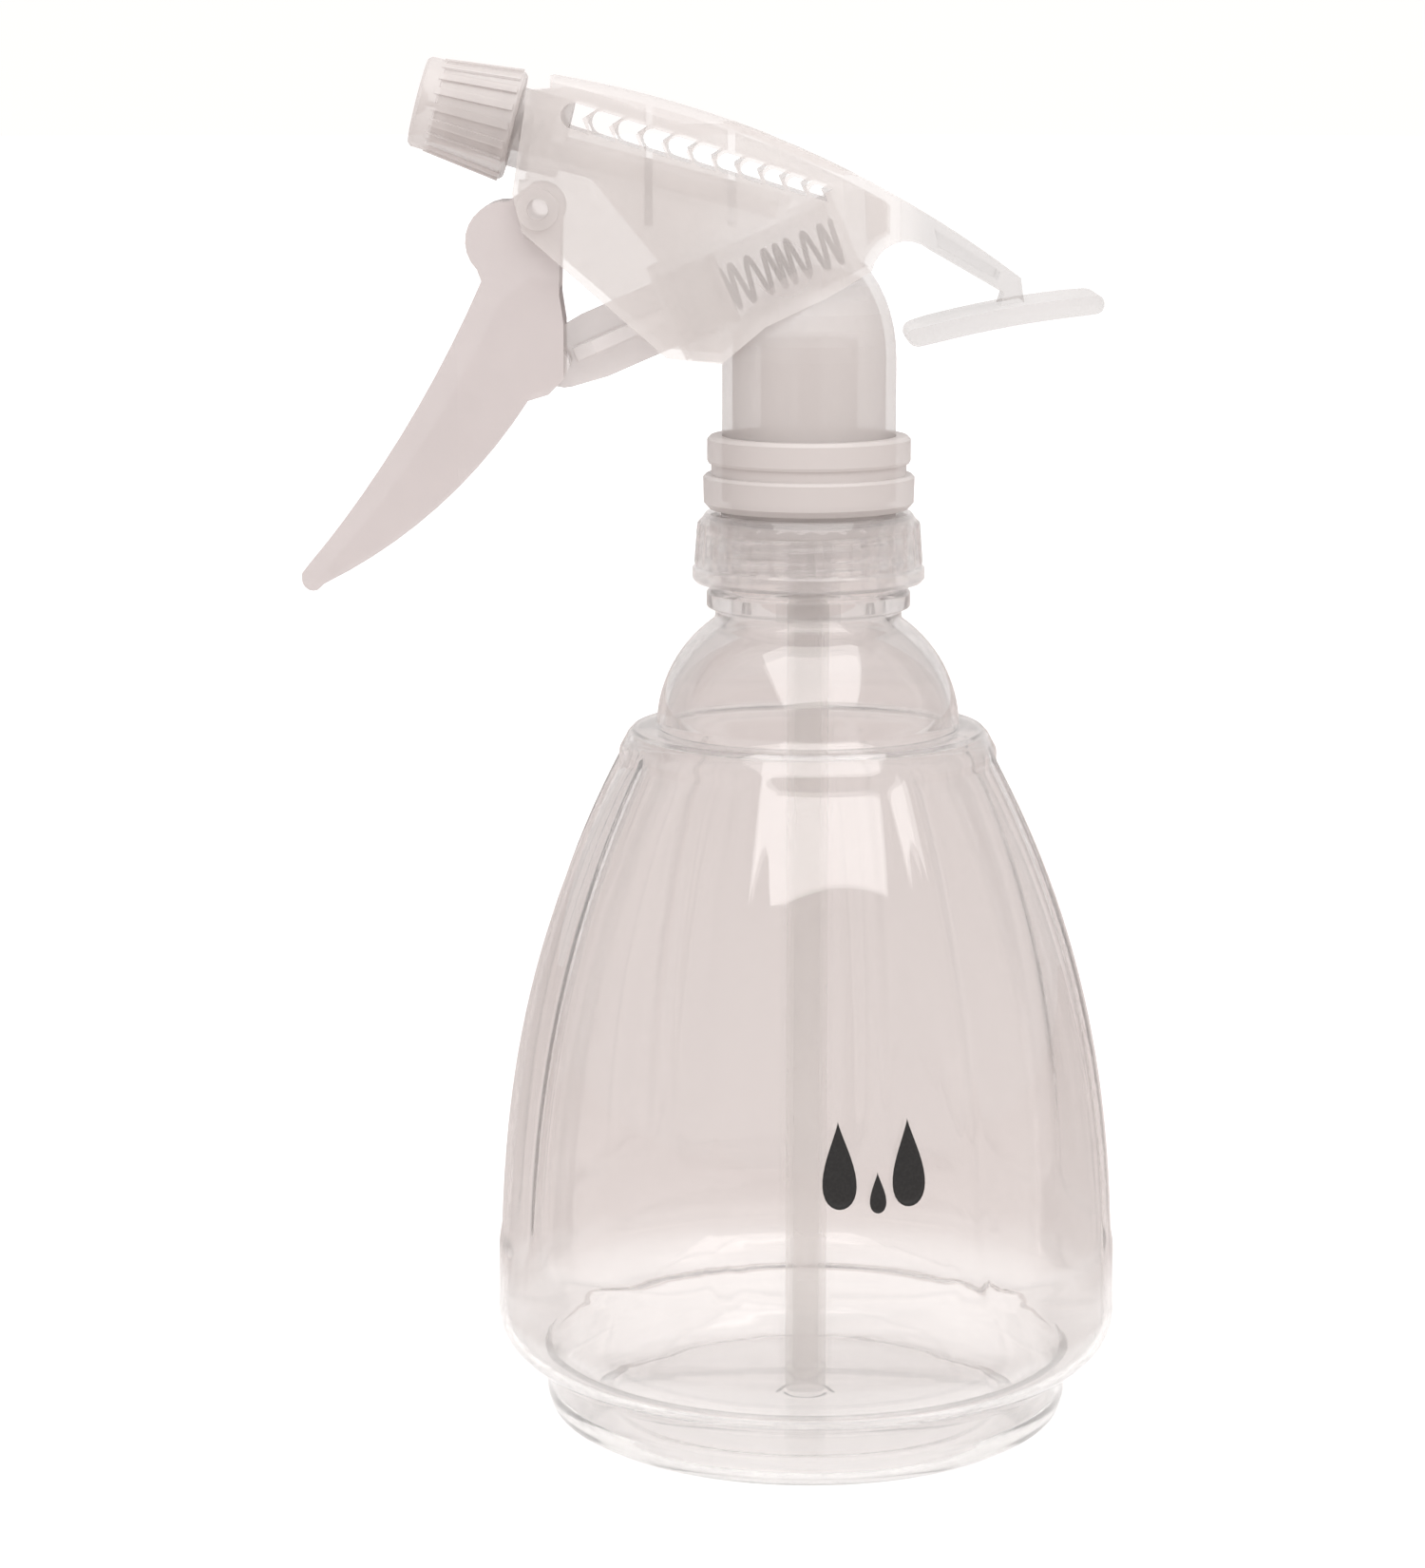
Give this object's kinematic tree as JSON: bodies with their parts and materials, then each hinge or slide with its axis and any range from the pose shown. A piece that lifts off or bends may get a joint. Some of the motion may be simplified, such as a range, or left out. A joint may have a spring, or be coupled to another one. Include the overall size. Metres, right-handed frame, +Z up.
{
  "type": "hand mister",
  "caption": "Clear fluted plant mister: bell-shaped bottle under a milky trigger sprayer head with a windowed shroud and an adjustable nozzle.",
  "frame": {"origin": "centre of the bottle's resting ring, on the surface it stands on", "axes": "+Z up along the bottle axis, -X towards the nozzle and trigger, Y across the head"},
  "size_m": [0.1212, 0.0934, 0.2043],
  "materials": {
    "bottle_clear": "clear blown plastic, glossy",
    "closure_clear": "clear moulded plastic, ribbed",
    "head_milky": "milky translucent moulded plastic",
    "trigger_milky": "milky translucent moulded plastic",
    "tube_natural": "natural extruded tube",
    "inner_natural": "natural moulded plastic",
    "seal_soft": "soft natural seal",
    "spring_steel": "drawn spring wire",
    "ball_steel": "polished ball",
    "print_ink": "screen-printed ink"
  },
  "bodies": {
    "bottle": {"bottle": "bottle_clear"},
    "head": {"pump_body": "head_milky", "shroud": "head_milky", "neck_adapter": "head_milky", "neck_gasket": "seal_soft", "tube_retainer": "inner_natural", "dip_tube": "tube_natural", "ball_cage": "inner_natural", "pivot_pin": "inner_natural", "swirl_insert": "inner_natural", "nozzle_o_ring": "seal_soft", "piston_retainer": "inner_natural", "return_spring": "spring_steel", "outlet_spring": "spring_steel"},
    "collar": {"screw_collar": "closure_clear"},
    "trigger": {"trigger": "trigger_milky"},
    "piston": {"piston_rod": "inner_natural", "piston_cup": "seal_soft"},
    "nozzle": {"nozzle_cap": "head_milky"},
    "inlet_ball": {"inlet_ball": "ball_steel"},
    "outlet_valve": {"outlet_valve": "inner_natural"}
  },
  "joints": [
    {"name": "head_lift", "type": "slide", "parent": "bottle", "child": "head", "axis": [0, 0, 1], "range_m": [0, 0.14]},
    {"name": "collar_spin", "type": "hinge", "parent": "head", "child": "collar", "pos_m": [0, 0, 0.133], "axis": [0, 0, 1], "continuous": true},
    {"name": "trigger_pull", "type": "hinge", "parent": "head", "child": "trigger", "pos_m": [-0.0393, 0, 0.1827], "axis": [0, -1, 0], "range_deg": [0, 25], "stiffness_Nm_per_rad": 0.8, "springref_deg": -11.46},
    {"name": "piston_slide", "type": "slide", "parent": "head", "child": "piston", "axis": [0.9171, 0, 0.3987], "range_m": [0, 0.0097], "deforming": ["return_spring"]},
    {"name": "nozzle_turn", "type": "hinge", "parent": "head", "child": "nozzle", "pos_m": [-0.0429, 0, 0.1943], "axis": [-0.967, 0, 0.2546], "range_deg": [-180, 180]},
    {"name": "inlet_ball_lift", "type": "slide", "parent": "head", "child": "inlet_ball", "axis": [0, 0, 1], "range_m": [0, 0.0012]},
    {"name": "outlet_valve_slide", "type": "slide", "parent": "head", "child": "outlet_valve", "axis": [-0.967, 0, 0.2546], "range_m": [0, 0.001], "stiffness_N_per_m": 100, "springref_m": -0.0005, "deforming": ["outlet_spring"]}
  ],
  "couplings": [
    {"joint": "piston_slide", "follows": "trigger_pull", "m_per_rad": 0.022}
  ]
}
